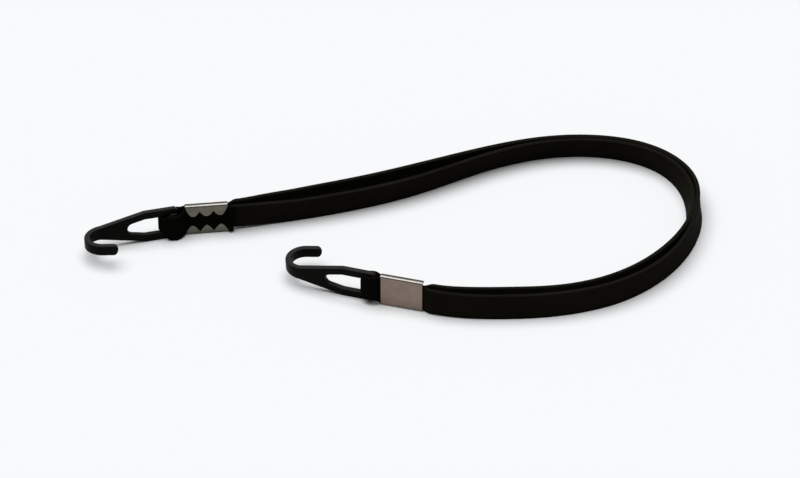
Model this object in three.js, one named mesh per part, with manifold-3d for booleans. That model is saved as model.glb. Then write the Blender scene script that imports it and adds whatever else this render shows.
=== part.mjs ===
// A flat rubber luggage strap, doubled, with a moulded hook and a crimped steel ferrule at each end.
// Lengths are in mm. The strap stands on its edge on the floor, as it lies in use on a bench, with +Z up.
import * as THREE from 'three';
import Module from 'manifold-3d';
import { mergeVertices } from 'three/addons/utils/BufferGeometryUtils.js';
import { NURBSCurve } from 'three/addons/curves/NURBSCurve.js';

// Clearances, and how far a cutting or joining shape runs past what it cuts or joins
const FIT_GAP = 0.3;
const CRIMP_GAP = 0.2;
const OVERRUN = 1;
const CUT_OVERLAP = 0.05;

// Rubber strip
const STRIP_WIDTH = 12;
const STRIP_THICKNESS = 1.8;
const STRIP_CHAMFER = 0.35;

// Steel ferrule, folded from one sheet
const SHEET = 0.6;
const FERRULE_LENGTH = 18.8;
const FERRULE_HEIGHT = 14.8;
const FERRULE_THICKNESS = 3;
const FOLD_RADIUS = 1;
const LONG_FLAP = 5.5;
const SHORT_FLAP = 4.5;
const LONG_NOTCH = 2.5;
const SHORT_NOTCH = 3.3;
const LONG_TOOTH_END = 2.4;
const SHORT_TOOTH_END = 1.3;
const FLAP_INSET = 2.2;
const TOOTH_PITCH = 6.1;

// Moulded hook
const HOOK_HEIGHT = 14.4;
const PLATE = 2.6;
const BARREL_RADIUS = 2.2;
const RAIL = 3.4;
const RAIL_END = 2;
const RAIL_CORNER = 0.9;
const KINK = 12.8;
const WINDOW_CENTRE = 18;
const WINDOW_RADIUS = 2.6;
const WINDOW_TURN = 75;
const CURL_START = 32.4;
const CURL_RADIUS = 7.45;
const CURL_TURN = 164;
const RETURN_LENGTH = 6.6;
const NECK_HEIGHT = 6;
const BAR_HEIGHT = 4.7;
const BAR_CHAMFER = 0.4;
const TIP_ROUND = 2;

// Rubber eye, loose round the hook's barrel, and how far each barrel lies from its ferrule
const FAR_BARREL_REACH = 5.5;
const NEAR_BARREL_REACH = 4.8;
const EYE_GAP = 0.6;
const EYE_INNER = BARREL_RADIUS + EYE_GAP;
const EYE_OUTER = EYE_INNER + STRIP_THICKNESS;
const FAR_EYE_HALF_WIDTH = 6.3;
const NEAR_EYE_HALF_WIDTH = 5.3;
const FAR_EYE_SLACK = 2;
const NEAR_EYE_SLACK = 0;
const GATHER_SLACK = 0.25;
const GATHERED_HALF_WIDTH = HOOK_HEIGHT / 2 - RAIL - FIT_GAP - GATHER_SLACK;
const CRIMPED_HALF_THICKNESS = FERRULE_THICKNESS / 2 - SHEET - CRIMP_GAP;
const CRIMPED_HALF_WIDTH = FERRULE_HEIGHT / 2 - SHEET - CRIMP_GAP;
const STUB = 3.5;
const STUB_RISE = 0.9;
const TAIL_REACH = 2.4;
const TAIL_RISE = 1.2;

// Where the strip comes out of each end, the way that end's hook points, and how far the hook is swung in
const MID_HEIGHT = FERRULE_HEIGHT / 2;
const FAR_EXIT = [-69.6, 3.2];
const FAR_HEADING = 187.6;
const NEAR_EXIT = [16.1, -60.1];
const NEAR_HEADING = 162.8;
const FAR_SWING = 8.4;
const NEAR_SWING = 1.2;

// How far each hook is rolled about its length in the loose eye, its curl upwards
const HOOK_ROLL = 3.8;

// How far each hook's barrel sits from its ferrule's middle plane, towards the inside of the loop
const FAR_BARREL_OFFSET = 1.1;
const NEAR_BARREL_OFFSET = 0.9;

// Where the runs leave each ferrule, measured from its middle plane towards the inside of the loop
const FAR_OUTER_OFFSET = -2.8;
const FAR_INNER_OFFSET = -0.1;
const NEAR_OUTER_OFFSET = -1.6;
const NEAR_INNER_OFFSET = 2.4;

// Lean of the runs there, in degrees inwards, and how far the inner run is below the outer one at the far end
const FAR_OUTER_LEAN = 5;
const FAR_INNER_LEAN = 8;
const NEAR_OUTER_LEAN = -2;
const NEAR_INNER_LEAN = 0;
const FAR_INNER_DROP = 1.1;

// Routes of the two runs in plan between the ferrules: x, y and the lean inwards in degrees
const LEAD = 4.4;
const OUTER_ROUTE = [
  [-53, 15, 7], [-34.5, 21.6, 9], [-12, 29.4, 10], [13.5, 40.8, 11], [40.5, 53.9, 15],
  [69, 64.2, 16.5], [98.6, 64.3, 17], [121.4, 53.3, 10], [135.4, 31.3, -2], [135.9, 5, 13],
  [124.7, -28.5, -3], [99.1, -55.1, -3.5], [68, -64.3, 0], [44, -65.3, -0.5], [28.3, -64.9, -2],
];
const INNER_ROUTE = [
  [-55.7, 6.65, 10], [-40.8, 10.3, 11.5], [-18.1, 17.1, 13], [11.1, 29.1, 14.5], [37.8, 47.7, 18],
  [65.2, 60.6, 18.5], [93.9, 62.5, 19], [118.8, 52.6, 12], [131.2, 31, -6], [131.8, 2.1, -13],
  [119.6, -26.6, -3], [98.9, -48.5, 4], [73.5, -59.1, 5], [47.5, -59.4, 2], [29, -59.9, 0],
];
const FAR_LIFT = MID_HEIGHT - STRIP_WIDTH / 2 + STUB_RISE;
const NEAR_LIFT = MID_HEIGHT - STRIP_WIDTH / 2 - STUB_RISE;
const LIFT_REACH = 30;

// Share of each route at the tip of the loop, where the far and near halves meet
const TIP_SHARE = 0.6;
const FAR_STEPS = 48;
const NEAR_STEPS = 36;

// Plan middle of the whole strap in the numbers above, which is the origin of the finished part
const MIDDLE = [0.6, 0.1];

const wasm = await Module();
wasm.setup();

const RUBBER = new THREE.MeshStandardMaterial({ color: 0x17161a, roughness: 0.6, metalness: 0 });
const PLASTIC = new THREE.MeshStandardMaterial({ color: 0x1f1f21, roughness: 0.5, metalness: 0 });
const STEEL = new THREE.MeshStandardMaterial({ color: 0xa9a49c, roughness: 0.35, metalness: 1 });

function solidOf(geometry) {
  const bare = geometry.clone();
  bare.deleteAttribute('normal');
  bare.deleteAttribute('uv');
  const merged = mergeVertices(bare, 1e-4);
  return new wasm.Manifold(new wasm.Mesh({
    numProp: 3,
    vertProperties: new Float32Array(merged.attributes.position.array),
    triVerts: new Uint32Array(merged.index.array),
  }));
}

function geometryOf(solid) {
  const mesh = solid.getMesh();
  const geometry = new THREE.BufferGeometry();
  geometry.setAttribute('position', new THREE.BufferAttribute(new Float32Array(mesh.vertProperties), 3));
  geometry.setIndex(new THREE.BufferAttribute(new Uint32Array(mesh.triVerts), 1));
  const flat = geometry.toNonIndexed();
  flat.computeVertexNormals();
  return flat;
}

// A shape drawn along and across, raised evenly about mid height
function raised(shape, height) {
  const options = { depth: height, bevelEnabled: false, curveSegments: 14 };
  const geometry = new THREE.ExtrudeGeometry(shape, options);
  return geometry.translate(0, 0, -height / 2);
}

// A shape drawn along and up, spread sideways between two offsets
function spread(shape, from, to) {
  const options = { depth: to - from, bevelEnabled: false, curveSegments: 14 };
  const geometry = new THREE.ExtrudeGeometry(shape, options);
  return geometry.rotateX(Math.PI / 2).translate(0, to, 0);
}

function polygon(points) {
  return new THREE.Shape(points.map(([x, y]) => new THREE.Vector2(x, y)));
}

function mirrored(points) {
  return points.concat(points.slice().reverse().map(([x, y]) => [x, -y]));
}

// A chamfered flat section carried along stations, closed at both ends
function loft(stations, chamfer) {
  const positions = [];
  const index = [];
  for (const { centre, across, up, halfThickness, halfWidth } of stations) {
    const c = Math.min(chamfer, halfThickness * 0.6);
    const ring = [
      [halfThickness, halfWidth - c], [halfThickness - c, halfWidth],
      [c - halfThickness, halfWidth], [-halfThickness, halfWidth - c],
      [-halfThickness, c - halfWidth], [c - halfThickness, -halfWidth],
      [halfThickness - c, -halfWidth], [halfThickness, c - halfWidth],
    ];
    for (const [t, w] of ring) {
      const p = centre.clone().addScaledVector(across, t).addScaledVector(up, w);
      positions.push(p.x, p.y, p.z);
    }
  }
  const sides = 8;
  const last = (stations.length - 1) * sides;
  for (let i = 0; i < stations.length - 1; i += 1) {
    for (let j = 0; j < sides; j += 1) {
      const a = i * sides + j;
      const b = i * sides + (j + 1) % sides;
      index.push(a, b, a + sides, b, b + sides, a + sides);
    }
  }
  for (let j = 1; j < sides - 1; j += 1) {
    index.push(0, j + 1, j);
    index.push(last, last + j, last + j + 1);
  }
  const geometry = new THREE.BufferGeometry();
  geometry.setAttribute('position', new THREE.Float32BufferAttribute(positions, 3));
  geometry.setIndex(index);
  return geometry;
}

// The moulded hook: along from the barrel to the tip, across towards the side it curls to
function makeHook() {
  const half = HOOK_HEIGHT / 2;
  const plateShape = polygon(mirrored([
    [-RAIL_END, half - RAIL_CORNER], [RAIL_CORNER - RAIL_END, half],
    [KINK, half], [CURL_START, NECK_HEIGHT / 2],
  ]).reverse());
  const windowHalf = half - RAIL;
  const opening = new THREE.Path();
  const windowTurn = THREE.MathUtils.degToRad(WINDOW_TURN);
  opening.moveTo(-RAIL_END - OVERRUN, -windowHalf);
  opening.lineTo(KINK, -windowHalf);
  opening.absarc(WINDOW_CENTRE, 0, WINDOW_RADIUS, -windowTurn, windowTurn, false);
  opening.lineTo(KINK, windowHalf);
  opening.lineTo(-RAIL_END - OVERRUN, windowHalf);
  opening.closePath();
  const window = new THREE.Shape(opening.getPoints(16));
  const plate = solidOf(spread(plateShape, -PLATE / 2, PLATE / 2))
    .subtract(solidOf(spread(window, -PLATE, PLATE)));
  const barrel = new THREE.CylinderGeometry(BARREL_RADIUS, BARREL_RADIUS, 2 * windowHalf + OVERRUN, 28);
  barrel.rotateX(Math.PI / 2);

  const stations = [];
  const station = (along, across, turn, height, thickness) => stations.push({
    centre: new THREE.Vector3(along, across, 0),
    across: new THREE.Vector3(-Math.sin(turn), Math.cos(turn), 0),
    up: new THREE.Vector3(0, 0, 1),
    halfThickness: thickness / 2,
    halfWidth: height / 2,
  });
  station(CURL_START - OVERRUN, 0, 0, NECK_HEIGHT, PLATE);
  const turnSteps = 14;
  const turn = THREE.MathUtils.degToRad(CURL_TURN);
  for (let i = 0; i <= turnSteps; i += 1) {
    const angle = turn * i / turnSteps;
    const height = THREE.MathUtils.lerp(NECK_HEIGHT, BAR_HEIGHT, Math.min(1, i / 6));
    const along = CURL_START + CURL_RADIUS * Math.sin(angle);
    const across = CURL_RADIUS * (1 - Math.cos(angle));
    station(along, across, angle, height, PLATE);
  }
  const endAlong = CURL_START + CURL_RADIUS * Math.sin(turn);
  const endAcross = CURL_RADIUS * (1 - Math.cos(turn));
  for (const [back, share] of [[1, 1], [0.55, 0.9], [0.2, 0.62], [0, 0.3]]) {
    const reach = RETURN_LENGTH - back * TIP_ROUND;
    station(endAlong + reach * Math.cos(turn), endAcross + reach * Math.sin(turn), turn,
      BAR_HEIGHT * share, PLATE * (0.4 + 0.6 * share));
  }
  return plate.add(solidOf(barrel)).add(solidOf(loft(stations, BAR_CHAMFER)));
}

// The ferrule's rounded oblong, drawn in from its outside by an inset, as a bar along its length
function sleeve(inset, length) {
  const radius = Math.max(FOLD_RADIUS - inset, 0.1);
  const x = FERRULE_THICKNESS / 2 - inset - radius;
  const y = FERRULE_HEIGHT / 2 - inset - radius;
  const shape = new THREE.Shape();
  shape.absarc(x, y, radius, 0, Math.PI / 2, false);
  shape.absarc(-x, y, radius, Math.PI / 2, Math.PI, false);
  shape.absarc(-x, -y, radius, Math.PI, Math.PI * 1.5, false);
  shape.absarc(x, -y, radius, Math.PI * 1.5, Math.PI * 2, false);
  const geometry = new THREE.ExtrudeGeometry(shape, { depth: length, bevelEnabled: false, curveSegments: 5 });
  geometry.translate(0, 0, -length / 2);
  geometry.rotateX(Math.PI / 2).rotateZ(Math.PI / 2);
  return solidOf(geometry);
}

// The folded ferrule: plain on the outside of the loop, two toothed flaps meeting on the inside
function makeFerrule() {
  const outside = sleeve(0, FERRULE_LENGTH);
  const inside = sleeve(SHEET, FERRULE_LENGTH + 2 * OVERRUN);

  const end = FERRULE_LENGTH / 2;
  const foldLine = FERRULE_HEIGHT / 2 - FOLD_RADIUS;
  const toothEdge = (flap, notch, toothEnd) => {
    const tip = FERRULE_HEIGHT / 2 - flap;
    const root = tip + notch;
    const points = [[-end - OVERRUN, foldLine], [-end, foldLine]];
    for (const tooth of [-1, 0, 1]) {
      const middle = tooth * TOOTH_PITCH;
      const first = tooth < 0 ? FLAP_INSET - end : middle - toothEnd / 2;
      const second = tooth > 0 ? end - FLAP_INSET : middle + toothEnd / 2;
      points.push([first, tip], [second, tip]);
      if (tooth < 1) {
        points.push([middle + TOOTH_PITCH / 2, root]);
      }
    }
    points.push([end, foldLine], [end + OVERRUN, foldLine]);
    return points;
  };
  const upper = toothEdge(LONG_FLAP, LONG_NOTCH, LONG_TOOTH_END);
  const lower = toothEdge(SHORT_FLAP, SHORT_NOTCH, SHORT_TOOTH_END).map(([x, y]) => [x, -y]).reverse();
  const gap = polygon(upper.concat(lower).reverse());
  const cutter = solidOf(spread(gap, FERRULE_THICKNESS / 2 - SHEET - CUT_OVERLAP, FERRULE_THICKNESS));
  return outside.subtract(inside).subtract(cutter);
}

// The strip's crimped end: round the barrel, through the ferrule and out to the runs
function makeEye({ outerOffset, innerOffset, barrelOffset, reach, slack, halfWidth, hasTail }) {
  const mouth = -reach;
  const exit = mouth - FERRULE_LENGTH;
  const end = exit - STUB;
  const thin = CRIMPED_HALF_THICKNESS;
  const away = (share) => mouth + share * reach;
  const plan = new THREE.Shape();
  plan.moveTo(end, outerOffset - STRIP_THICKNESS / 2);
  plan.lineTo(exit, -thin);
  plan.lineTo(mouth, -thin);
  plan.bezierCurveTo(away(0.15), -thin, away(0.47), barrelOffset - EYE_OUTER, 0, barrelOffset - EYE_OUTER);
  plan.absellipse(0, barrelOffset, EYE_OUTER + slack, EYE_OUTER, -Math.PI / 2, Math.PI / 2, false);
  plan.bezierCurveTo(away(0.47), barrelOffset + EYE_OUTER, away(0.15), thin, mouth, thin);
  plan.lineTo(exit, thin);
  const innerFace = innerOffset + STRIP_THICKNESS / 2;
  if (hasTail) {
    const tailFace = innerFace + FIT_GAP + STRIP_THICKNESS;
    plan.lineTo(exit - TAIL_RISE, tailFace);
    plan.lineTo(exit - TAIL_REACH, tailFace);
    plan.lineTo(exit - TAIL_REACH, innerFace + FIT_GAP);
    plan.lineTo(exit - TAIL_REACH + FIT_GAP, innerFace);
  }
  plan.lineTo(end, innerFace);
  plan.closePath();
  const throat = [away(0.33), barrelOffset / 3];
  const eye = new THREE.Path();
  eye.moveTo(...throat);
  eye.bezierCurveTo(away(0.4), throat[1], away(0.55), barrelOffset + EYE_INNER, 0, barrelOffset + EYE_INNER);
  eye.absellipse(0, barrelOffset, EYE_INNER + slack, EYE_INNER, Math.PI / 2, -Math.PI / 2, true);
  eye.bezierCurveTo(away(0.55), barrelOffset - EYE_INNER, away(0.4), throat[1], ...throat);
  plan.holes.push(eye);
  const edge = (side) => [
    [end - OVERRUN, side * STRIP_WIDTH / 2 + STUB_RISE], [end, side * STRIP_WIDTH / 2 + STUB_RISE],
    [exit, side * CRIMPED_HALF_WIDTH], [mouth, side * CRIMPED_HALF_WIDTH], [0, side * halfWidth],
    [FIT_GAP, side * GATHERED_HALF_WIDTH], [EYE_OUTER + slack + OVERRUN, side * GATHERED_HALF_WIDTH],
  ];
  const side = polygon(edge(-1).concat(edge(1).reverse()));
  const strip = solidOf(raised(plan, FERRULE_HEIGHT))
    .intersect(solidOf(spread(side, -FERRULE_HEIGHT, FERRULE_HEIGHT)));
  const block = new THREE.BoxGeometry(FERRULE_LENGTH, 4 * FERRULE_THICKNESS, 2 * FERRULE_HEIGHT);
  const around = solidOf(block).subtract(sleeve(SHEET + CRIMP_GAP, FERRULE_LENGTH + 2 * OVERRUN));
  return strip.subtract(around.translate([mouth - FERRULE_LENGTH / 2, 0, 0]));
}

// Plan points where a run leaves a ferrule: at its exit, and a little further on in the same line
function leave(exit, heading, side, { offset, lean }) {
  const angle = THREE.MathUtils.degToRad(heading);
  const x = exit[0] - side * offset * Math.sin(angle);
  const y = exit[1] + side * offset * Math.cos(angle);
  return [[x, y, lean], [x - LEAD * Math.cos(angle), y - LEAD * Math.sin(angle), lean]];
}

// A run of the strip along its route, cut into a far and a near half at the tip of the loop
function makeRun(middle, far, near) {
  const route = leave(FAR_EXIT, FAR_HEADING, 1, far)
    .concat(middle, leave(NEAR_EXIT, NEAR_HEADING, -1, near).reverse());
  const degree = 3;
  const spans = route.length - degree;
  const knots = [0, 0, 0];
  for (let i = 0; i <= spans; i += 1) {
    knots.push(i / spans);
  }
  knots.push(1, 1, 1);
  const curve = new NURBSCurve(degree, knots, route.map(([x, y, lean]) => new THREE.Vector4(x, y, lean, 1)));
  const flatPoint = (t) => {
    const p = curve.getPoint(t);
    return new THREE.Vector3(p.x, p.y, 0);
  };
  const samples = 400;
  const lengths = [0];
  for (let i = 1; i <= samples; i += 1) {
    lengths.push(lengths[i - 1] + flatPoint(i / samples).distanceTo(flatPoint((i - 1) / samples)));
  }
  const total = lengths[samples];
  const shareAt = (length) => {
    let i = 1;
    while (i < samples && lengths[i] < length) {
      i += 1;
    }
    return (i - 1 + (length - lengths[i - 1]) / (lengths[i] - lengths[i - 1])) / samples;
  };
  const stationAt = (length) => {
    const t = Math.min(1, Math.max(0, shareAt(length)));
    const point = curve.getPoint(t);
    const ahead = flatPoint(Math.min(1, t + 1e-3)).sub(flatPoint(Math.max(0, t - 1e-3))).normalize();
    const inward = new THREE.Vector3(ahead.y, -ahead.x, 0);
    const lean = THREE.MathUtils.degToRad(point.z);
    const lift = far.lift * (1 - THREE.MathUtils.smoothstep(length, 0, LIFT_REACH))
      + near.lift * (1 - THREE.MathUtils.smoothstep(total - length, 0, LIFT_REACH));
    const height = STRIP_WIDTH / 2 * Math.cos(lean) + STRIP_THICKNESS / 2 * Math.abs(Math.sin(lean)) + lift;
    return {
      centre: new THREE.Vector3(point.x, point.y, height),
      across: inward.clone().multiplyScalar(-Math.cos(lean)).add(new THREE.Vector3(0, 0, Math.sin(lean))),
      up: inward.clone().multiplyScalar(Math.sin(lean)).add(new THREE.Vector3(0, 0, Math.cos(lean))),
      halfThickness: STRIP_THICKNESS / 2,
      halfWidth: STRIP_WIDTH / 2,
    };
  };
  const stretch = (from, to, steps) => {
    const stations = [];
    for (let i = 0; i <= steps; i += 1) {
      stations.push(stationAt(THREE.MathUtils.lerp(from, to, i / steps)));
    }
    return loft(stations, STRIP_CHAMFER);
  };
  const tip = total * TIP_SHARE;
  return {
    far: stretch(0, tip - FIT_GAP / 2, FAR_STEPS),
    near: stretch(tip + FIT_GAP / 2, total, NEAR_STEPS),
  };
}

function named(name, geometry, material) {
  const mesh = new THREE.Mesh(geometry, material);
  mesh.name = name;
  return mesh;
}

// One end of the strap: along towards the hook's tip, across towards the inside of the loop
function makeEnd({ name, exit, heading, swing, barrelOffset, reach, upsideDown, eye }) {
  const angle = THREE.MathUtils.degToRad(heading);
  const exitToBarrel = FIT_GAP + STUB + FERRULE_LENGTH + reach;
  const end = new THREE.Group();
  end.position.x = exit[0] + exitToBarrel * Math.cos(angle);
  end.position.y = exit[1] + exitToBarrel * Math.sin(angle);
  end.position.z = MID_HEIGHT;
  end.rotation.set(upsideDown ? Math.PI : 0, 0, angle, 'ZYX');
  const hook = named(`${name}_hook`, hookGeometry, PLASTIC);
  hook.position.y = barrelOffset;
  const roll = THREE.MathUtils.degToRad(upsideDown ? -HOOK_ROLL : HOOK_ROLL);
  hook.rotation.set(roll, 0, THREE.MathUtils.degToRad(swing), 'ZYX');
  const ferrule = named(`${name}_ferrule`, ferruleGeometry, STEEL);
  ferrule.position.x = -reach - FERRULE_LENGTH / 2;
  end.add(hook, ferrule, named(`${name}_eye`, eye, RUBBER));
  return end;
}

const hookGeometry = geometryOf(makeHook());
const ferruleGeometry = geometryOf(makeFerrule());
const group = new THREE.Group();
group.name = 'bungee_strap';
const farEye = geometryOf(makeEye({
  outerOffset: FAR_OUTER_OFFSET,
  innerOffset: FAR_INNER_OFFSET,
  barrelOffset: FAR_BARREL_OFFSET,
  reach: FAR_BARREL_REACH,
  slack: FAR_EYE_SLACK,
  halfWidth: FAR_EYE_HALF_WIDTH,
  hasTail: true,
}));
const nearEye = geometryOf(makeEye({
  outerOffset: NEAR_OUTER_OFFSET,
  innerOffset: NEAR_INNER_OFFSET,
  barrelOffset: NEAR_BARREL_OFFSET,
  reach: NEAR_BARREL_REACH,
  slack: NEAR_EYE_SLACK,
  halfWidth: NEAR_EYE_HALF_WIDTH,
  hasTail: false,
}));
group.add(makeEnd({
  name: 'far',
  exit: FAR_EXIT,
  heading: FAR_HEADING,
  swing: FAR_SWING,
  barrelOffset: FAR_BARREL_OFFSET,
  reach: FAR_BARREL_REACH,
  upsideDown: false,
  eye: farEye,
}));
group.add(makeEnd({
  name: 'near',
  exit: NEAR_EXIT,
  heading: NEAR_HEADING,
  swing: NEAR_SWING,
  barrelOffset: NEAR_BARREL_OFFSET,
  reach: NEAR_BARREL_REACH,
  upsideDown: true,
  eye: nearEye,
}));
const runs = [
  ['outer', makeRun(
    OUTER_ROUTE,
    { offset: FAR_OUTER_OFFSET, lean: FAR_OUTER_LEAN, lift: FAR_LIFT },
    { offset: NEAR_OUTER_OFFSET, lean: NEAR_OUTER_LEAN, lift: NEAR_LIFT },
  )],
  ['inner', makeRun(
    INNER_ROUTE,
    { offset: FAR_INNER_OFFSET, lean: FAR_INNER_LEAN, lift: FAR_LIFT - FAR_INNER_DROP },
    { offset: NEAR_INNER_OFFSET, lean: NEAR_INNER_LEAN, lift: NEAR_LIFT },
  )],
];
for (const [name, run] of runs) {
  group.add(named(`${name}_far_run`, run.far, RUBBER));
  group.add(named(`${name}_near_run`, run.near, RUBBER));
}
for (const child of group.children) {
  child.position.x -= MIDDLE[0];
  child.position.y -= MIDDLE[1];
}

export default group;
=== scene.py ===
import math

import bmesh
import bpy
import numpy as np
from mathutils import Matrix, Vector


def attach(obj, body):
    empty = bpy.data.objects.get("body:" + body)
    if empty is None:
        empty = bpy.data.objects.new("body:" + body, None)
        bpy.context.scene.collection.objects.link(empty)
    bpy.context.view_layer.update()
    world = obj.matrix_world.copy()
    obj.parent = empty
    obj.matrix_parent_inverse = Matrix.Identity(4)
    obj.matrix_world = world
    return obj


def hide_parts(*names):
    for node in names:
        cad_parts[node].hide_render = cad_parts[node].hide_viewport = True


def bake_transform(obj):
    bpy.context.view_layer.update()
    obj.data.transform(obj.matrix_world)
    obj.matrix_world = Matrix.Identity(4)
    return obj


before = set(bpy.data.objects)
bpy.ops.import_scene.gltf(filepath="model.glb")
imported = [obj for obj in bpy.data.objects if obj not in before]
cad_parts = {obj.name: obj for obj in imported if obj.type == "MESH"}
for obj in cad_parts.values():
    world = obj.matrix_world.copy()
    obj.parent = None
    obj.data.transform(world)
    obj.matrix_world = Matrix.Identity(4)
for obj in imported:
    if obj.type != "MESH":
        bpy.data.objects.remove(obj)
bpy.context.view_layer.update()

# Clearances
FIT_GAP = 0.0003
CRIMP_GAP = 0.0002

# Rubber strip: its section, its thickness in a ferrule as a share of the full one, and the steps along it
STRIP_WIDTH = 0.012
STRIP_THICKNESS = 0.0018
STRIP_ROUND = 0.00035
SQUEEZED = 0.4
STATION_STEP = 0.0014
ROUTE_SAMPLES = 4000

# How far the strip's edges flare outwards at the tip of the loop, and the shares of a run where they do
DISH = 0.0003
DISH_START = 0.35
DISH_END = 0.85

# Shift between the two faces of a strip in its texture, so that their lines differ
FACE_SHIFT = 0.02

# Steel ferrule
SHEET = 0.0006
FERRULE_LENGTH = 0.0188
FERRULE_HEIGHT = 0.0148
FERRULE_THICKNESS = 0.003
FOLD_RADIUS = 0.001
LONG_FLAP = 0.0055
SHORT_FLAP = 0.0045
LONG_NOTCH = 0.0025
SHORT_NOTCH = 0.0033
LONG_TOOTH_END = 0.0024
SHORT_TOOTH_END = 0.0013
FLAP_INSET = 0.0022
TOOTH_PITCH = 0.0061
TOOTH_CURVE = 1.5
TIP_SOFTNESS = 0.0006
SHEET_EDGE_ROUND = 0.00012
SHEET_EDGE_ANGLE = math.radians(50)

# Grid of a ferrule's sheet: its step along, and its rows over a flap, a fold and the plain wall
FLAP_STEP = 0.0002
FLAP_ROWS = 6
FOLD_ROWS = 6
WALL_ROWS = 10

# Moulded hook: plate and barrel
HOOK_HEIGHT = 0.0144
PLATE = 0.0026
PLATE_ROUND = 0.0004
BARREL_RADIUS = 0.0022
BARREL_SIDES = 40
BARREL_EDGE_ROWS = 5
RAIL = 0.0034
RAIL_END = 0.002
RAIL_CORNER = 0.0009
KINK = 0.0128
WINDOW_CENTRE = 0.018
WINDOW_RADIUS = 0.0026
WINDOW_TURN = math.radians(75)
WINDOW_POINTS = 8
CREASE_ANGLE = math.radians(40)

# Moulded hook: the J, which starts inside the plate, a hair slimmer than its neck
CURL_START = 0.0324
CURL_RADIUS = 0.00745
CURL_TURN = math.radians(164)
CURL_STATIONS = 41
RETURN_LENGTH = 0.0066
NECK_HEIGHT = 0.006
NECK_OVERLAP = 0.004
NECK_SINK = 0.00004
NECK_SHARE = 0.45
BAR_HEIGHT = 0.0047
BAR_ROUND = 0.0005
BAR_ROUND_LIMIT = 0.8

# Round tip of the J: its length, and how high and how thick it ends as shares of the bar
TIP_ROUND = 0.002
TIP_STATIONS = 10
TIP_END_HEIGHT = 0.12
TIP_END_THICKNESS = 0.4

# Rubber eye, loose round the hook's barrel
EYE_GAP = 0.0006
EYE_RADIUS = BARREL_RADIUS + EYE_GAP + STRIP_THICKNESS / 2
EYE_ROUND = 0.7
GATHERED_HALF_WIDTH = 0.0034
CRIMPED_HALF_WIDTH = FERRULE_HEIGHT / 2 - SHEET - CRIMP_GAP

# Curve of an eye's legs in plan, from the ferrule's mouth: its start inside, and its two handles
EYE_START = (-0.003, 0.00035)
EYE_HANDLES = ((0.0008, 0.0004), (0.0014, EYE_RADIUS))
EYE_LEG_STATIONS = 20
EYE_TURN_STATIONS = 33

# Where an eye changes. EYE_LOOSE and EYE_SHIFT_START count from the ferrule's mouth, EYE_SHIFT_END from the
# barrel's line and EYE_SPREAD from the plate's face. EYE_SIDES_MEET holds shares of the eye's length.
EYE_LOOSE = (-0.0005, 0.0025)
EYE_SHIFT_START = -0.001
EYE_SHIFT_END = -0.0005
EYE_SPREAD = (0.0007, 0.0019)
EYE_SIDES_MEET = (0.4, 0.6)

# Rubber inside a ferrule, and its swelling between the toothed flaps
CORE_INSET = 0.0004
CORE_GAP = 0.00005
CORE_ROUND = 0.0005
CORE_STATIONS = 30
SWELL = 0.00045
SWELL_CENTRE = 0.0004
SWELL_WIDTH = 0.0021

# Strip between a ferrule and the runs, and the cut tail beside the far ferrule
STUB = 0.0035
STUB_RISE = 0.0009
INTO_FERRULE = 0.006
LAYER_OFFSET = 0.0005
LEAD_STATIONS = 11
TAIL_REACH = 0.0024

# Middle of the strap's plan, the heights where the runs leave the ferrules, and the hooks' roll
MIDDLE = (0.0006, 0.0001)
MID_HEIGHT = FERRULE_HEIGHT / 2
FAR_LIFT = MID_HEIGHT - STRIP_WIDTH / 2 + STUB_RISE
NEAR_LIFT = MID_HEIGHT - STRIP_WIDTH / 2 - STUB_RISE
FAR_INNER_DROP = 0.0011
HOOK_ROLL = math.radians(3.8)

# Each end: where the strip leaves it in plan, the way its hook points, how the hook sits, the eye's slack,
# the eye's lower and upper edge on the inside and on the outside of the loop, and how each run leaves
FAR = {
    "exit": (-0.0696, 0.0032),
    "heading": math.radians(187.6),
    "swing": math.radians(8.4),
    "barrel_offset": 0.0011,
    "reach": 0.0055,
    "turned_over": False,
    "slack": 0.002,
    "eye_edges": ((-0.0071, 0.0049), (-0.0058, 0.0051)),
    "outer": {"offset": -0.0028, "lean": 5, "lift": FAR_LIFT},
    "inner": {"offset": -0.0001, "lean": 8, "lift": FAR_LIFT - FAR_INNER_DROP},
}
NEAR = {
    "exit": (0.0161, -0.0601),
    "heading": math.radians(162.8),
    "swing": math.radians(1.2),
    "barrel_offset": 0.0009,
    "reach": 0.0048,
    "turned_over": True,
    "slack": 0.0,
    "eye_edges": ((-0.005, 0.0056), (-0.007, 0.0047)),
    "outer": {"offset": -0.0016, "lean": -2, "lift": NEAR_LIFT},
    "inner": {"offset": 0.0024, "lean": 0, "lift": NEAR_LIFT},
}

# How far a run goes straight on from a ferrule, and how far until it has come down to the floor
LEAD = 0.0044
LIFT_REACH = 0.03

# Routes of the two runs in plan between the ferrules: x, y and the lean inwards in degrees
ROUTES = {
    "outer": [
        (-0.053, 0.015, 7), (-0.0345, 0.0216, 9), (-0.012, 0.0294, 10), (0.0135, 0.0408, 11),
        (0.0405, 0.0539, 15), (0.069, 0.0642, 16.5), (0.0986, 0.0643, 17), (0.1214, 0.0533, 10),
        (0.1354, 0.0313, -2), (0.1359, 0.005, 13), (0.1247, -0.0285, -3), (0.0991, -0.0551, -3.5),
        (0.068, -0.0643, 0), (0.044, -0.0653, -0.5), (0.0283, -0.0649, -2),
    ],
    "inner": [
        (-0.0557, 0.00665, 10), (-0.0408, 0.0103, 11.5), (-0.0181, 0.0171, 13), (0.0111, 0.0291, 14.5),
        (0.0378, 0.0477, 18), (0.0652, 0.0606, 18.5), (0.0939, 0.0625, 19), (0.1188, 0.0526, 12),
        (0.1312, 0.031, -6), (0.1318, 0.0021, -13), (0.1196, -0.0266, -3), (0.0989, -0.0485, 4),
        (0.0735, -0.0591, 5), (0.0475, -0.0594, 2), (0.029, -0.0599, 0),
    ],
}

# Shares of each run where its bend starts, passes the tip of the loop and ends
BEND_START = 0.3
BEND_TIP = 0.6
BEND_END = 0.83

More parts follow.
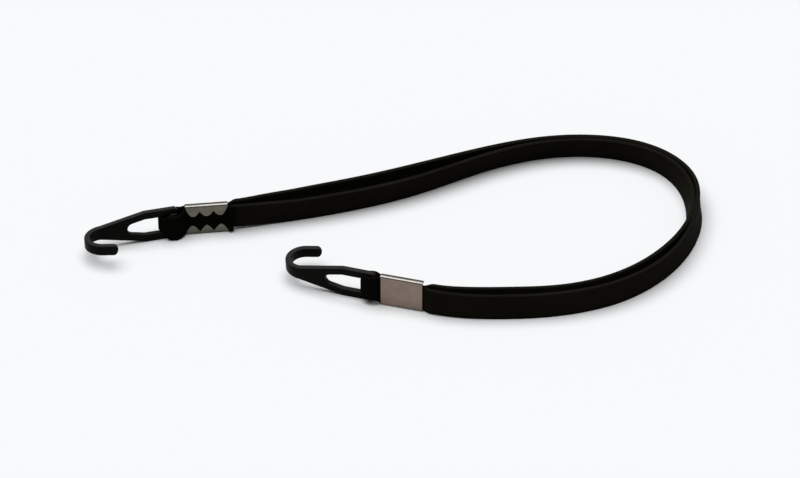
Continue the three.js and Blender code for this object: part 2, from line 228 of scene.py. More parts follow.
# How far the inner run moves out to touch the outer one round the tip, and the shares where it does so
TOUCH = 0.0004
TOUCH_START = (0.48, 0.57)
TOUCH_END = (0.64, 0.74)

# Camera
ELEVATION = math.radians(34)
CAMERA_DISTANCE = 1.6
TARGET = Vector((0.002, -0.0045, 0))
SENSOR = 36
LENS = 163.4
CLIP_START = 0.05
CLIP_END = 20

# Materials: pairs of a dark and a pale tone, between which a noise moves the colour. The rubber at the ends
# has the runs' tones times the factor below: painted shade between the hook's rails and in the ferrules.
RUBBER_TONES = ((0.007, 0.0064, 0.0047), (0.015, 0.0138, 0.0104))
# Painted shade: how dark the rubber at the ends is painted against the runs
ENDS_PAINTED_SHADE = 0.4
PLASTIC_TONES = ((0.0034, 0.0031, 0.0024), (0.0056, 0.0052, 0.0042))
# Painted light from above: the paler tones of the plastic's faces that look up
TOP_LIGHT_TONES = ((0.024, 0.0235, 0.022), (0.032, 0.0315, 0.03))
# Painted shade: the far clip is the same steel as the near one, its tones darker as if in shade
FAR_SHADED_STEEL_TONES = ((0.095, 0.09, 0.072), (0.135, 0.133, 0.108))
NEAR_STEEL_TONES = ((0.187, 0.1435, 0.1175), (0.23, 0.178, 0.15))
# Painted highlight: the paler tones along the steel's upper fold
FOLD_HIGHLIGHT_TONES = ((0.26, 0.245, 0.22), (0.32, 0.305, 0.28))

# Materials: how far a face looks up where the painted light on the plastic's tops starts and is full, and
# where the painted highlight on the steel's fold does
TOP_LIGHT_FACING = (0.35, 0.95)
FOLD_HIGHLIGHT_FACING = (0.2, 0.7)

# Floor as it is seen, and as it lights the object from below
FLOOR_COLOUR = (0.863, 0.878, 0.887)
FLOOR_BOUNCE = (0.4, 0.39, 0.36)
FLOOR_REACH = 4.0

# Light
SKY_STRENGTH = 0.14
SUN_ENERGY = 3.01
SUN_ANGLE = math.radians(66)
SUN_TURN = (math.radians(-2), math.radians(-8), 0)


def smooth_step(value, low, high):
    t = np.clip((value - low) / (high - low), 0, 1)
    return t * t * (3 - 2 * t)


def new_object(name, vertices, faces, uvs=None, sharp=()):
    """A mesh object with smooth faces and an optional layer of coordinates per vertex.

    The edges named in sharp stay crisp.
    """
    mesh = bpy.data.meshes.new(name)
    mesh.from_pydata([tuple(v) for v in vertices], [], faces)
    mesh.update()
    mesh.shade_smooth()
    if uvs is not None:
        layer = mesh.uv_layers.new(name="strip")
        loops = np.zeros(len(mesh.loops), np.int32)
        mesh.loops.foreach_get("vertex_index", loops)
        layer.data.foreach_set("uv", np.asarray(uvs, np.float32)[loops].ravel())
    crisp = {frozenset(edge) for edge in sharp}
    for edge in mesh.edges:
        if frozenset(edge.vertices) in crisp:
            edge.use_edge_sharp = True
    obj = bpy.data.objects.new(name, mesh)
    bpy.context.scene.collection.objects.link(obj)
    return obj


def rounded_section(half_thickness, half_width, radius, dish=0.0, face_steps=8, corner_steps=4):
    """A flat section with rounded corners, as (thickness, width) points.

    Its edges flare by dish towards minus thickness.
    """
    points = []
    t, w = half_thickness - radius, half_width - radius
    for corner, (st, sw) in enumerate(((1, 1), (-1, 1), (-1, -1), (1, -1))):
        for i in range(corner_steps + 1):
            angle = math.pi / 2 * (corner + i / corner_steps)
            points.append((st * t + radius * math.cos(angle), sw * w + radius * math.sin(angle)))
        if corner in (1, 3):
            for i in range(1, face_steps):
                points.append((st * half_thickness, sw * w * (1 - 2 * i / face_steps)))
    return np.array([(a - dish * (b / half_width) ** 2, b) for a, b in points])


def sweep(name, centres, across, up, rings):
    """A closed mesh that carries one ring of (across, up) points along each station."""
    count = len(rings[0])
    lengths = np.concatenate([[0], np.cumsum(np.linalg.norm(np.diff(centres, axis=0), axis=1))])
    vertices, uvs = [], []
    for centre, a, u, length, ring in zip(centres, across, up, lengths, rings):
        vertices.append(centre + ring[:, :1] * a + ring[:, 1:] * u)
        uvs.extend((length, point[1] + FACE_SHIFT * (point[0] > 0)) for point in ring)
    vertices = np.concatenate(vertices)
    last = (len(centres) - 1) * count
    faces = []
    for i in range(len(centres) - 1):
        for j in range(count):
            a, b = i * count + j, i * count + (j + 1) % count
            faces.append((a, b, b + count, a + count))
    faces.append(tuple(reversed(range(count))))
    faces.append(tuple(range(last, last + count)))
    sharp = [(j, (j + 1) % count) for j in range(count)]
    sharp += [(last + a, last + b) for a, b in sharp]
    return new_object(name, vertices, faces, uvs, sharp)


def spline(points, samples):
    """Points along the clamped cubic B-spline with these control points."""
    points = np.array(points, float)
    spans = len(points) - 3
    knots = np.concatenate([[0, 0, 0], np.linspace(0, 1, spans + 1), [1, 1, 1]])
    t = np.linspace(0, 1 - 1e-9, samples)
    basis = [((knots[i] <= t) & (t < knots[i + 1])).astype(float) for i in range(len(knots) - 1)]
    for degree in (1, 2, 3):
        higher = []
        for i in range(len(basis) - 1):
            value = np.zeros_like(t)
            if knots[i + degree] > knots[i]:
                value += (t - knots[i]) / (knots[i + degree] - knots[i]) * basis[i]
            if knots[i + degree + 1] > knots[i + 1]:
                value += (knots[i + degree + 1] - t) / (knots[i + degree + 1] - knots[i + 1]) * basis[i + 1]
            higher.append(value)
        basis = higher
    return np.stack(basis, axis=1) @ points


def end_matrix(end):
    """Places an end's own axes on the barrel's line: along to the hook, across to the loop's inside."""
    along = Vector((math.cos(end["heading"]), math.sin(end["heading"])))
    exit_to_barrel = FIT_GAP + STUB + FERRULE_LENGTH + end["reach"]
    x = end["exit"][0] + exit_to_barrel * along.x - MIDDLE[0]
    y = end["exit"][1] + exit_to_barrel * along.y - MIDDLE[1]
    turn = Matrix.Rotation(end["heading"], 4, "Z")
    if end["turned_over"]:
        turn = turn @ Matrix.Rotation(math.pi, 4, "X")
    return Matrix.Translation((x, y, MID_HEIGHT)) @ turn


def leave(end, name):
    """Plan points where a run leaves a ferrule: at its exit, and a little further on in the same line."""
    offset = -end[name]["offset"] if end["turned_over"] else end[name]["offset"]
    lean = end[name]["lean"]
    heading = end["heading"]
    x = end["exit"][0] - offset * math.sin(heading)
    y = end["exit"][1] + offset * math.cos(heading)
    return [(x, y, lean), (x - LEAD * math.cos(heading), y - LEAD * math.sin(heading), lean)]


def leaning(inward, lean):
    """The strip's across and up directions, leaning inwards from upright."""
    vertical = np.array([0, 0, 1.0])
    across = inward * np.cos(lean)[:, None] - vertical * np.sin(lean)[:, None]
    up = inward * np.sin(lean)[:, None] + vertical * np.cos(lean)[:, None]
    return across, up


def run_stations(name):
    """Stations of one run between the ferrules: centres, level directions inwards, leans and shares."""
    route = leave(FAR, name) + ROUTES[name] + leave(NEAR, name)[::-1]
    dense = spline(route, ROUTE_SAMPLES)
    steps = np.linalg.norm(np.diff(dense[:, :2], axis=0), axis=1)
    lengths = np.concatenate([[0], np.cumsum(steps)])
    total = lengths[-1]
    stations = np.linspace(0, total, round(total / STATION_STEP))
    share = stations / total
    line = np.stack([np.interp(stations, lengths, dense[:, k]) for k in range(3)], axis=1)
    lift = FAR[name]["lift"] * (1 - smooth_step(stations, 0, LIFT_REACH))
    lift += NEAR[name]["lift"] * (1 - smooth_step(total - stations, 0, LIFT_REACH))
    lean = np.radians(line[:, 2])
    height = STRIP_WIDTH / 2 * np.cos(lean) + STRIP_THICKNESS / 2 * np.abs(np.sin(lean)) + lift
    ahead = np.gradient(line[:, :2], axis=0)
    ahead /= np.linalg.norm(ahead, axis=1)[:, None]
    inward = np.stack([ahead[:, 1], -ahead[:, 0], np.zeros(len(ahead))], axis=1)
    centres = np.column_stack([line[:, 0] - MIDDLE[0], line[:, 1] - MIDDLE[1], height])
    if name == "inner":
        touch = TOUCH * smooth_step(share, *TOUCH_START) * (1 - smooth_step(share, *TOUCH_END))
        centres -= touch[:, None] * inward
    return centres, inward, lean, share


def lead_in(centre, direction, inward, lean, offset):
    """Stations that carry a run from its end into the ferrule: straightened up, and squeezed thin there."""
    reach = np.linspace(STUB + INTO_FERRULE, 0, LEAD_STATIONS + 1)[:-1]
    squeeze = smooth_step(reach, 0, STUB + FIT_GAP)
    sideways = (-offset + LAYER_OFFSET * np.sign(offset)) * squeeze
    centres = centre + reach[:, None] * direction + sideways[:, None] * inward
    centres[:, 2] += (MID_HEIGHT - centres[:, 2]) * smooth_step(reach, STUB, STUB + INTO_FERRULE)
    return centres, np.tile(inward, (len(reach), 1)), lean * (1 - squeeze), 1 - (1 - SQUEEZED) * squeeze


def make_run(name):
    """The pieces of one run: a leg and half of the bend on each side of the tip, meeting ring to ring."""
    centres, inward, lean, share = run_stations(name)
    thick = np.ones(len(centres))
    flare = smooth_step(share, DISH_START, BEND_TIP) * (1 - smooth_step(share, BEND_TIP, DISH_END))
    outwards = [a / np.linalg.norm(a) for a in (centres[0] - centres[1], centres[-1] - centres[-2])]
    first = lead_in(centres[0], outwards[0], inward[0], lean[0], FAR[name]["offset"])
    last = [a[::-1] for a in lead_in(centres[-1], outwards[1], inward[-1], lean[-1], NEAR[name]["offset"])]
    centres, inward, lean, thick = (
        np.concatenate(parts) for parts in zip(first, (centres, inward, lean, thick), last)
    )
    across, up = leaning(inward, lean)
    flare = np.concatenate([np.zeros(LEAD_STATIONS), flare, np.zeros(LEAD_STATIONS)])
    share = np.concatenate([np.zeros(LEAD_STATIONS), share, np.ones(LEAD_STATIONS)])
    rings = [
        rounded_section(STRIP_THICKNESS / 2 * t, STRIP_WIDTH / 2, STRIP_ROUND * t, DISH * f)
        for t, f in zip(thick, flare)
    ]
    low, tip, high = np.searchsorted(share, [BEND_START, BEND_TIP, BEND_END])
    spans = (
        ("far", "leg", 0, low), ("far", "bend", low, tip),
        ("near", "bend", tip, high), ("near", "leg", high, len(centres) - 1),
    )
    pieces = []
    for half, kind, start, stop in spans:
        pick = slice(start, stop + 1)
        path = centres[pick]
        piece = sweep(f"{name}_{half}_{kind}", path, across[pick], up[pick], rings[pick])
        if kind == "leg":
            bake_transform(piece)
        elif half == "far":
            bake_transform(piece)
        else:
            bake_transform(piece)
        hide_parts(f"{name}_{half}_run")
        pieces.append(piece)
    return pieces


def make_camera():
    camera = bpy.data.objects.new("camera", bpy.data.cameras.new("camera"))
    bpy.context.scene.collection.objects.link(camera)
    back = Vector((0, -math.cos(ELEVATION), math.sin(ELEVATION)))
    camera.location = TARGET + CAMERA_DISTANCE * back
    camera.rotation_euler = (math.pi / 2 - ELEVATION, 0, 0)
    camera.data.sensor_width = SENSOR
    camera.data.lens = LENS
    camera.data.clip_start = CLIP_START
    camera.data.clip_end = CLIP_END
    bpy.context.scene.camera = camera


def tooth_edge(along, flap, notch, tooth_end):
    """Height of a flap's edge above mid height: three teeth with rounded tips, and slanted ends."""
    tip = FERRULE_HEIGHT / 2 - flap
    fold = FERRULE_HEIGHT / 2 - FOLD_RADIUS
    from_tooth = np.abs(along - TOOTH_PITCH * np.round(np.clip(along / TOOTH_PITCH, -1, 1)))
    flank = (TOOTH_PITCH - tooth_end) / 2
    rise = np.clip((from_tooth - tooth_end / 2 + TIP_SOFTNESS) / (flank + TIP_SOFTNESS), 0, 1)
    teeth = tip + notch * rise ** TOOTH_CURVE
    outside = np.abs(along) > TOOTH_PITCH
    from_end = FERRULE_LENGTH / 2 - np.abs(along)
    slant = np.clip((FLAP_INSET + TIP_SOFTNESS - from_end) / (FLAP_INSET + TIP_SOFTNESS), 0, 1)
    ends = tip + (fold - tip) * slant ** TOOTH_CURVE
    return np.where(outside, ends, teeth)


def ferrule_grid():
    """Vertices and faces on the middle of a ferrule's sheet, folded over at its top and bottom."""
    half = FERRULE_LENGTH / 2
    steps = round(FERRULE_LENGTH / FLAP_STEP)
    along = np.append(np.linspace(-half, half, steps), (-TOOTH_PITCH / 2, TOOTH_PITCH / 2))
    along = np.unique(np.round(along, 6))
    upper = tooth_edge(along, LONG_FLAP, LONG_NOTCH, LONG_TOOTH_END)
    lower = tooth_edge(along, SHORT_FLAP, SHORT_NOTCH, SHORT_TOOTH_END)
    face = FERRULE_THICKNESS / 2 - SHEET / 2
    radius = FOLD_RADIUS - SHEET / 2
    top = FERRULE_HEIGHT / 2 - FOLD_RADIUS
    bends = np.linspace(0, math.pi / 2, FOLD_ROWS)
    vertices = []
    for x, high, low in zip(along, upper, -lower):
        line = [(face, z) for z in np.linspace(high, top, FLAP_ROWS)[:-1]]
        line += [(face - radius + radius * math.cos(a), top + radius * math.sin(a)) for a in bends]
        line += [(radius - face - radius * math.sin(a), top + radius * math.cos(a)) for a in bends]
        line += [(-face, z) for z in np.linspace(top, -top, WALL_ROWS)[1:-1]]
        line += [(radius - face - radius * math.cos(a), -top - radius * math.sin(a)) for a in bends]
        line += [(face - radius + radius * math.sin(a), -top - radius * math.cos(a)) for a in bends]
        line += [(face, z) for z in np.linspace(-top, low, FLAP_ROWS)[1:]]
        vertices += [(x, y, z) for y, z in line]
    count = len(vertices) // len(along)
    faces = [
        (i * count + j, i * count + j + 1, (i + 1) * count + j + 1, (i + 1) * count + j)
        for i in range(len(along) - 1) for j in range(count - 1)
    ]
    return vertices, faces


def make_ferrule(name, matrix, end, body):
    """A ferrule folded from one sheet: a grid on the sheet's middle, made thick, with softened edges."""
    obj = new_object(name, *ferrule_grid())
    welded = bmesh.new()
    welded.from_mesh(obj.data)
    bmesh.ops.remove_doubles(welded, verts=welded.verts, dist=1e-6)
    bmesh.ops.recalc_face_normals(welded, faces=welded.faces)
    welded.to_mesh(obj.data)
    welded.free()
    obj.data.transform(matrix @ Matrix.Translation((-end["reach"] - FERRULE_LENGTH / 2, 0, 0)))
    solid = obj.modifiers.new("sheet", "SOLIDIFY")
    solid.thickness = SHEET
    solid.offset = 0
    solid.use_even_offset = True
    soft = obj.modifiers.new("edges", "BEVEL")
    soft.width = SHEET_EDGE_ROUND
    soft.segments = 2
    soft.limit_method = "ANGLE"
    soft.angle_limit = SHEET_EDGE_ANGLE
    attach(obj, body)
    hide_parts(name.replace("_clip", "_ferrule"))
    return obj


def hook_plate():
    """The hook's plate, forked into two rails round its window, from a flat outline with rounded edges."""
    half = HOOK_HEIGHT / 2
    window = half - RAIL
    turns = np.linspace(0, WINDOW_TURN, WINDOW_POINTS)
    outline = [(WINDOW_CENTRE + WINDOW_RADIUS * math.cos(a), WINDOW_RADIUS * math.sin(a)) for a in turns]
    outline += [(KINK, window), (-RAIL_END, window)]
    outline += [(-RAIL_END, half - RAIL_CORNER), (RAIL_CORNER - RAIL_END, half)]
    outline += [(KINK, half), (CURL_START, NECK_HEIGHT / 2)]
    outline += [(x, -z) for x, z in reversed(outline[1:])]
    curve = bpy.data.curves.new("plate", "CURVE")
    curve.dimensions = "2D"
    curve.fill_mode = "BOTH"
    curve.extrude = PLATE / 2 - PLATE_ROUND
    curve.bevel_depth = PLATE_ROUND
    curve.bevel_resolution = 3
    curve.offset = -PLATE_ROUND
    line = curve.splines.new("POLY")
    line.points.add(len(outline) - 1)
    for point, (x, z) in zip(line.points, outline):
        point.co = (x, z, 0, 1)
    line.use_cyclic_u = True
    holder = bpy.data.objects.new("plate", curve)
    bpy.context.scene.collection.objects.link(holder)
    bpy.context.view_layer.update()
    mesh = bpy.data.meshes.new_from_object(holder.evaluated_get(bpy.context.evaluated_depsgraph_get()))
    bpy.data.objects.remove(holder)
    mesh.transform(Matrix.Rotation(math.pi / 2, 4, "X"))
    return mesh


def hook_curl():
    """The hook's J: a rounded bar from inside the plate's neck, round the curl and back to its tip."""
    stations = [(CURL_START - NECK_OVERLAP, 0.0, 0.0, NECK_HEIGHT - NECK_SINK, PLATE - NECK_SINK)]
    for share in np.linspace(0, 1, CURL_STATIONS):
        angle = CURL_TURN * share
        height = NECK_HEIGHT + (BAR_HEIGHT - NECK_HEIGHT) * min(1, share / NECK_SHARE)
        along = CURL_START + CURL_RADIUS * math.sin(angle)
        stations.append((along, CURL_RADIUS * (1 - math.cos(angle)), angle, height, PLATE))
    end_x, end_y = stations[-1][:2]
    back_x, back_y = math.cos(CURL_TURN), math.sin(CURL_TURN)
    straight = RETURN_LENGTH - TIP_ROUND
    tapers = [(0.5 * straight, 1.0)]
    for angle in np.linspace(0, math.pi / 2, TIP_STATIONS):
        tapers.append((straight + TIP_ROUND * math.sin(angle), max(math.cos(angle), TIP_END_HEIGHT)))
    for reach, taper in tapers:
        thickness = PLATE * (TIP_END_THICKNESS + (1 - TIP_END_THICKNESS) * taper)
        x, y = end_x + reach * back_x, end_y + reach * back_y
        stations.append((x, y, CURL_TURN, BAR_HEIGHT * taper, thickness))
    centres = np.array([(x, y, 0) for x, y, *_ in stations])
    across = np.array([(-math.sin(a), math.cos(a), 0) for _, _, a, _, _ in stations])
    up = np.tile([0, 0, 1.0], (len(stations), 1))
    rings = []
    for *_, height, thickness in stations:
        half_t, half_h = thickness / 2, height / 2
        soft = min(BAR_ROUND, BAR_ROUND_LIMIT * half_t, BAR_ROUND_LIMIT * half_h)
        rings.append(rounded_section(half_t, half_h, soft, face_steps=3, corner_steps=5))
    return sweep("curl", centres, across, up, rings)


def hook_barrel():
    """The hook's round bar with softened ends, as a turned profile."""
    half = HOOK_HEIGHT / 2 - RAIL + 2 * PLATE_ROUND
    soft = PLATE_ROUND
    profile = [(BARREL_RADIUS - soft, -half)]
    profile += [(BARREL_RADIUS - soft + soft * math.sin(a), -half + soft * (1 - math.cos(a)))
                for a in np.linspace(0, math.pi / 2, BARREL_EDGE_ROWS)[1:]]
    profile += [(r, -z) for r, z in reversed(profile)]
    turns = np.arange(BARREL_SIDES) * 2 * math.pi / BARREL_SIDES
    vertices = [(r * math.cos(turn), r * math.sin(turn), z) for r, z in profile for turn in turns]
    last = (len(profile) - 1) * BARREL_SIDES
    faces = []
    for row in range(0, last, BARREL_SIDES):
        for k in range(BARREL_SIDES):
            a, b = row + k, row + (k + 1) % BARREL_SIDES
            faces.append((a, b, b + BARREL_SIDES, a + BARREL_SIDES))
    faces.append(tuple(reversed(range(BARREL_SIDES))))
    faces.append(tuple(range(last, last + BARREL_SIDES)))
    return new_object("barrel", vertices, faces)


def make_hook_mesh():
    """One hook in its own axes, joined from its plate, curl and barrel."""
    joined = bmesh.new()
    joined.from_mesh(hook_plate())
    for part in (hook_curl(), hook_barrel()):
        joined.from_mesh(part.data)
        bpy.data.objects.remove(part)
    bmesh.ops.remove_doubles(joined, verts=joined.verts, dist=1e-7)
    for face in joined.faces:
        face.smooth = True
    mesh = bpy.data.meshes.new("hook")
    joined.to_mesh(mesh)
    joined.free()
    mesh.set_sharp_from_angle(angle=CREASE_ANGLE)
    return mesh


def make_hook(name, mesh, matrix, end):
    obj = bpy.data.objects.new(name, mesh.copy())
    bpy.context.scene.collection.objects.link(obj)
    roll = Matrix.Rotation(-HOOK_ROLL if end["turned_over"] else HOOK_ROLL, 4, "X")
    place = Matrix.Translation((0, end["barrel_offset"], 0)) @ Matrix.Rotation(end["swing"], 4, "Z") @ roll
    obj.data.transform(matrix @ place)
    body = name.replace("_moulding", "")
    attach(obj, body)
    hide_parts(body)
    return obj


def eye_plan(end):
    """Plan of an eye: a leg from the ferrule's mouth, the turn round the barrel, and a leg back."""
    mouth = np.array([-end["reach"], 0])
    start, stop = mouth + EYE_START, np.array([0, EYE_RADIUS])
    handle_a, handle_b = (mouth + handle for handle in EYE_HANDLES)
    t = np.linspace(0, 1, EYE_LEG_STATIONS)[:, None]
    leg = (1 - t) ** 3 * start + 3 * (1 - t) ** 2 * t * handle_a
    leg = leg + 3 * (1 - t) * t ** 2 * handle_b + t ** 3 * stop
    angles = np.linspace(math.pi / 2, -math.pi / 2, EYE_TURN_STATIONS)[1:-1]
    turn = np.stack([(EYE_RADIUS + end["slack"]) * np.cos(angles), EYE_RADIUS * np.sin(angles)], axis=1)
    return np.concatenate([leg, turn, leg[::-1] * (1, -1)])


def make_eye(name, matrix, end):
    """The strip's turn round the barrel, flat and wide but for the crimp and the plate's window."""
    plan = eye_plan(end)
    mouth, offset = -end["reach"], end["barrel_offset"]
    inside = smooth_step(np.linspace(1, 0, len(plan)), *EYE_SIDES_MEET)
    from_plate = np.abs(plan[:, 1] * math.cos(end["swing"]) - plan[:, 0] * math.sin(end["swing"]))
    past_plate = smooth_step(from_plate, PLATE / 2 + EYE_SPREAD[0], PLATE / 2 + EYE_SPREAD[1])
    spread = np.where(plan[:, 0] > 0, past_plate, 1)
    loose = smooth_step(plan[:, 0], mouth + EYE_LOOSE[0], mouth + EYE_LOOSE[1])
    plan[:, 1] += offset * smooth_step(plan[:, 0], mouth + EYE_SHIFT_START, EYE_SHIFT_END)
    ahead = np.gradient(plan, axis=0)
    ahead /= np.linalg.norm(ahead, axis=1)[:, None]
    levels = []
    for side, (inner_edge, outer_edge) in zip((-1, 1), zip(*end["eye_edges"])):
        free = inside * inner_edge + (1 - inside) * outer_edge
        gathered = side * GATHERED_HALF_WIDTH
        held = side * (CRIMPED_HALF_WIDTH + (GATHERED_HALF_WIDTH - CRIMPED_HALF_WIDTH) * (1 - spread))
        in_crimp = held + (free - held) * loose
        levels.append(np.where(loose < 1, in_crimp, gathered + (free - gathered) * spread))
    low, high = levels
    thin = SQUEEZED + (1 - SQUEEZED) * loose
    centres = np.column_stack([plan, (low + high) / 2])
    across = np.column_stack([-ahead[:, 1], ahead[:, 0], np.zeros(len(plan))])
    up = np.tile([0, 0, 1.0], (len(plan), 1))
    rings = [
        rounded_section(STRIP_THICKNESS / 2 * s, h, EYE_ROUND * STRIP_THICKNESS / 2 * s)
        for s, h in zip(thin, (high - low) / 2)
    ]
    obj = sweep(name, centres, across, up, rings)
    obj.data.transform(matrix)
    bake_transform(obj)
    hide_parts(name.replace("_turn", "_eye"))
    return obj


def make_core(name, matrix, end, body):
    """The rubber squeezed inside a ferrule, swelling a little between its toothed flaps."""
    half_length = FERRULE_LENGTH / 2 - CORE_INSET
    along = np.linspace(-half_length, half_length, CORE_STATIONS)
    half_thickness = FERRULE_THICKNESS / 2 - SHEET - CORE_GAP
    centres = np.column_stack([along - end["reach"] - FERRULE_LENGTH / 2, np.zeros((CORE_STATIONS, 2))])
    across = np.tile([0, 1.0, 0], (CORE_STATIONS, 1))
    up = np.tile([0, 0, 1.0], (CORE_STATIONS, 1))
    section = rounded_section(half_thickness, CRIMPED_HALF_WIDTH, CORE_ROUND, face_steps=24)
    swell = SWELL * np.exp(-(((section[:, 1] - SWELL_CENTRE) / SWELL_WIDTH) ** 2)) * (section[:, 0] > 0)
    section[:, 0] += swell
    obj = sweep(name, centres, across, up, [section] * CORE_STATIONS)
    obj.data.transform(matrix)
    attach(obj, body)
    return obj


def make_tail(name, matrix, body):
    """The strip's cut end, standing out of the far ferrule against the inner run."""
    beside = FAR["inner"]["offset"] + STRIP_THICKNESS + FIT_GAP / 2
    # Six stations from inside the ferrule to the cut face
    reach = np.array([0.004, 0.002, 0.0002, -0.0005, -TAIL_REACH + 0.0002, -TAIL_REACH])
    side = np.array([0.0004, 0.0004, 0.0006, beside, beside, beside])
    thick = np.array([SQUEEZED, SQUEEZED, 0.6, 1, 1, 0.86])
    lean = np.radians(FAR["inner"]["lean"]) * np.array([0, 0, 0, 0.2, 0.6, 0.6])
    exit_x = -FAR["reach"] - FERRULE_LENGTH
    centres = np.column_stack([exit_x + reach, side, np.zeros(len(reach))])
    rings = [rounded_section(STRIP_THICKNESS / 2 * s, CRIMPED_HALF_WIDTH, STRIP_ROUND * s) for s in thick]
    across, up = leaning(np.tile([0, 1.0, 0], (len(reach), 1)), lean)
    obj = sweep(name, centres, -across, up, rings)
    obj.data.transform(matrix)
    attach(obj, body)
    return obj


def grey(value):
    return (value, value, value)


class Nodes:
    """A short way to write a material's node tree."""

    def __init__(self, name):
        self.material = bpy.data.materials.new(name)
        self.material.use_nodes = True
        self.tree = self.material.node_tree
        self.shader = self.tree.nodes["Principled BSDF"]

    def add(self, kind, **values):
        node = self.tree.nodes.new(kind)
        for key, value in values.items():
            if key in node.inputs:
                node.inputs[key].default_value = value
            else:
                setattr(node, key, value)
        return node

    def link(self, source, target):
        self.tree.links.new(source, target)

    def feed(self, socket, source):
        """Lets a node's output set one of the shader's sockets."""
        self.link(source, self.shader.inputs[socket])

    def places(self):
        return self.add("ShaderNodeTexCoord").outputs["Object"]

    def stretched(self, vector, scale):
        node = self.add("ShaderNodeMapping", Scale=scale)
        self.link(vector, node.inputs["Vector"])
        return node.outputs["Vector"]

    def noise(self, vector, scale, detail, roughness):
        node = self.add("ShaderNodeTexNoise", Scale=scale, Detail=detail, Roughness=roughness)
        self.link(vector, node.inputs["Vector"])
        return node.outputs["Fac"]

    def combine(self, operation, first, second):
        node = self.add("ShaderNodeMath", operation=operation)
        self.link(first, node.inputs[0])
        self.link(second, node.inputs[1])
        return node.outputs["Value"]

    def ramp(self, source, dark, pale, low=0.3, high=0.7):
        """A colour that turns from dark to pale as the source rises from low to high."""
        node = self.add("ShaderNodeValToRGB")
        for element, position, colour in zip(node.color_ramp.elements, (low, high), (dark, pale)):
            element.position = position
            element.color = (*colour, 1)
        self.link(source, node.inputs["Fac"])
        return node.outputs["Color"]

    def on_top(self, base, top, facing):
        """One colour that turns into another on the faces that look up."""
        surface = self.add("ShaderNodeNewGeometry")
        parts = self.add("ShaderNodeSeparateXYZ")
        self.link(surface.outputs["Normal"], parts.inputs["Vector"])
        mix = self.add("ShaderNodeMix", data_type="RGBA")
        self.link(self.ramp(parts.outputs["Z"], grey(0), grey(1), *facing), mix.inputs["Factor"])
        self.link(base, mix.inputs["A"])
        self.link(top, mix.inputs["B"])
        return mix.outputs["Result"]

    def bump(self, height, strength, distance):
        node = self.add("ShaderNodeBump", Strength=strength, Distance=distance)
        self.link(height, node.inputs["Height"])
        self.feed("Normal", node.outputs["Normal"])


def rubber_material(name, shade):
    """Black extruded rubber, painted darker by shade: fine lines along the strip, and a dull bloom in
    patches.
    """
    n = Nodes(name)
    strip = n.add("ShaderNodeUVMap", uv_map="strip").outputs["UV"]
    lines = n.noise(n.stretched(strip, (45, 2600, 1)), scale=1, detail=3, roughness=0.6)
    bloom = n.noise(n.places(), scale=70, detail=4, roughness=0.55)
    dark, pale = (tuple(shade * part for part in tone) for tone in RUBBER_TONES)
    n.feed("Base Color", n.ramp(n.combine("MULTIPLY", lines, bloom), dark, pale, low=0.1, high=0.5))
    n.feed("Roughness", n.ramp(bloom, grey(0.55), grey(0.7)))
    n.bump(lines, strength=0.25, distance=0.00012)
    n.shader.inputs["Specular IOR Level"].default_value = 0.004
    return n.material


def plastic_material():
    """Black moulded plastic with a fine grain, painted paler on the faces that look up, as light from
    above.
    """
    n = Nodes("black_plastic")
    place = n.places()
    grain = n.noise(place, scale=2200, detail=2, roughness=0.5)
    cloud = n.noise(place, scale=160, detail=4, roughness=0.6)
    own_tone, top_lit = n.ramp(cloud, *PLASTIC_TONES), n.ramp(cloud, *TOP_LIGHT_TONES)
    # Painted light: the faces that look up turn pale, as if lit from above
    n.feed("Base Color", n.on_top(own_tone, top_lit, TOP_LIGHT_FACING))
    n.feed("Roughness", n.ramp(cloud, grey(0.3), grey(0.42)))
    n.bump(grain, strength=0.12, distance=0.00005)
    n.shader.inputs["Specular IOR Level"].default_value = 0.03
    return n.material


def steel_material(name, tones):
    """Plated steel sheet: grey, with rolling lines, soft stains and a painted highlight on the upper fold.
    """
    n = Nodes(name)
    place = n.places()
    rolling = n.noise(n.stretched(place, (250, 250, 5200)), scale=1, detail=2, roughness=0.6)
    stain = n.noise(place, scale=190, detail=5, roughness=0.6)
    sheet, fold = n.ramp(stain, *tones), n.ramp(stain, *FOLD_HIGHLIGHT_TONES)
    # Painted highlight along the upper fold, where the faces look up
    n.feed("Base Color", n.on_top(sheet, fold, FOLD_HIGHLIGHT_FACING))
    n.feed("Roughness", n.ramp(rolling, grey(0.26), grey(0.36)))
    n.bump(rolling, strength=0.1, distance=0.00004)
    n.shader.inputs["Metallic"].default_value = 1.0
    return n.material


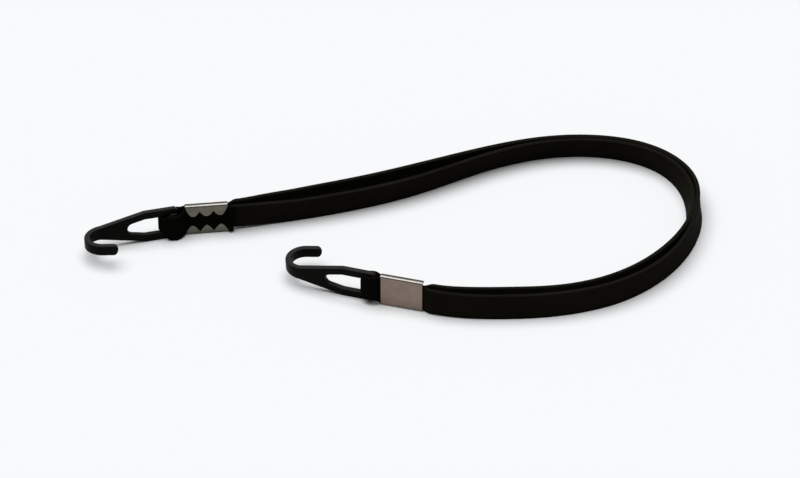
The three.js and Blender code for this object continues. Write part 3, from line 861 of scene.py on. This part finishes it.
def floor_material():
    """A plain pale floor that keeps the object's shadow, and throws little light back up."""
    n = Nodes("pale_floor")
    rays = n.add("ShaderNodeLightPath").outputs
    seen = n.combine("MAXIMUM", rays["Is Camera Ray"], rays["Is Glossy Ray"])
    shown = n.combine("MAXIMUM", seen, rays["Is Transmission Ray"])
    n.feed("Base Color", n.ramp(shown, FLOOR_BOUNCE, FLOOR_COLOUR, low=0, high=1))
    n.shader.inputs["Roughness"].default_value = 0.9
    n.shader.inputs["Specular IOR Level"].default_value = 0.0
    return n.material


def dress(objects, material):
    for obj in objects:
        obj.data.materials.clear()
        obj.data.materials.append(material)


def make_floor():
    corners = [(x * FLOOR_REACH, y * FLOOR_REACH, 0) for x, y in ((-1, -1), (1, -1), (1, 1), (-1, 1))]
    floor = new_object("floor", corners, [(0, 1, 2, 3)])
    dress([floor], floor_material())


def make_light():
    world = bpy.data.worlds.new("studio")
    world.use_nodes = True
    sky = world.node_tree.nodes["Background"].inputs
    sky["Color"].default_value = (1, 1, 1, 1)
    sky["Strength"].default_value = SKY_STRENGTH
    bpy.context.scene.world = world
    sun = bpy.data.objects.new("soft_key", bpy.data.lights.new("soft_key", "SUN"))
    sun.data.energy = SUN_ENERGY
    sun.data.angle = SUN_ANGLE
    sun.rotation_euler = SUN_TURN
    bpy.context.scene.collection.objects.link(sun)


make_camera()
strip_pieces = make_run("outer") + make_run("inner")

far_matrix, near_matrix = end_matrix(FAR), end_matrix(NEAR)
hook_mesh = make_hook_mesh()
hooks = [
    make_hook("far_hook_moulding", hook_mesh, far_matrix, FAR),
    make_hook("near_hook_moulding", hook_mesh, near_matrix, NEAR),
]
far_clip = make_ferrule("far_clip", far_matrix, FAR, "far_end")
near_clip = make_ferrule("near_clip", near_matrix, NEAR, "near_end")
rubber_ends = [
    make_eye("far_turn", far_matrix, FAR),
    make_eye("near_turn", near_matrix, NEAR),
    make_core("far_crimped_rubber", far_matrix, FAR, "far_end"),
    make_core("near_crimped_rubber", near_matrix, NEAR, "near_end"),
    make_tail("far_cut_tail", far_matrix, "far_end"),
]

dress(strip_pieces, rubber_material("black_rubber", 1.0))
# Painted shade: the eyes, the rubber in the ferrules and the tail are darker copies of the rubber
dress(rubber_ends, rubber_material("shaded_rubber", ENDS_PAINTED_SHADE))
dress(hooks, plastic_material())
# Painted shade: the far clip gets a darker copy of the steel
dress([far_clip], steel_material("shaded_steel", FAR_SHADED_STEEL_TONES))
dress([near_clip], steel_material("plated_steel", NEAR_STEEL_TONES))

make_floor()
make_light()

bpy.context.scene.view_settings.view_transform = "Standard"
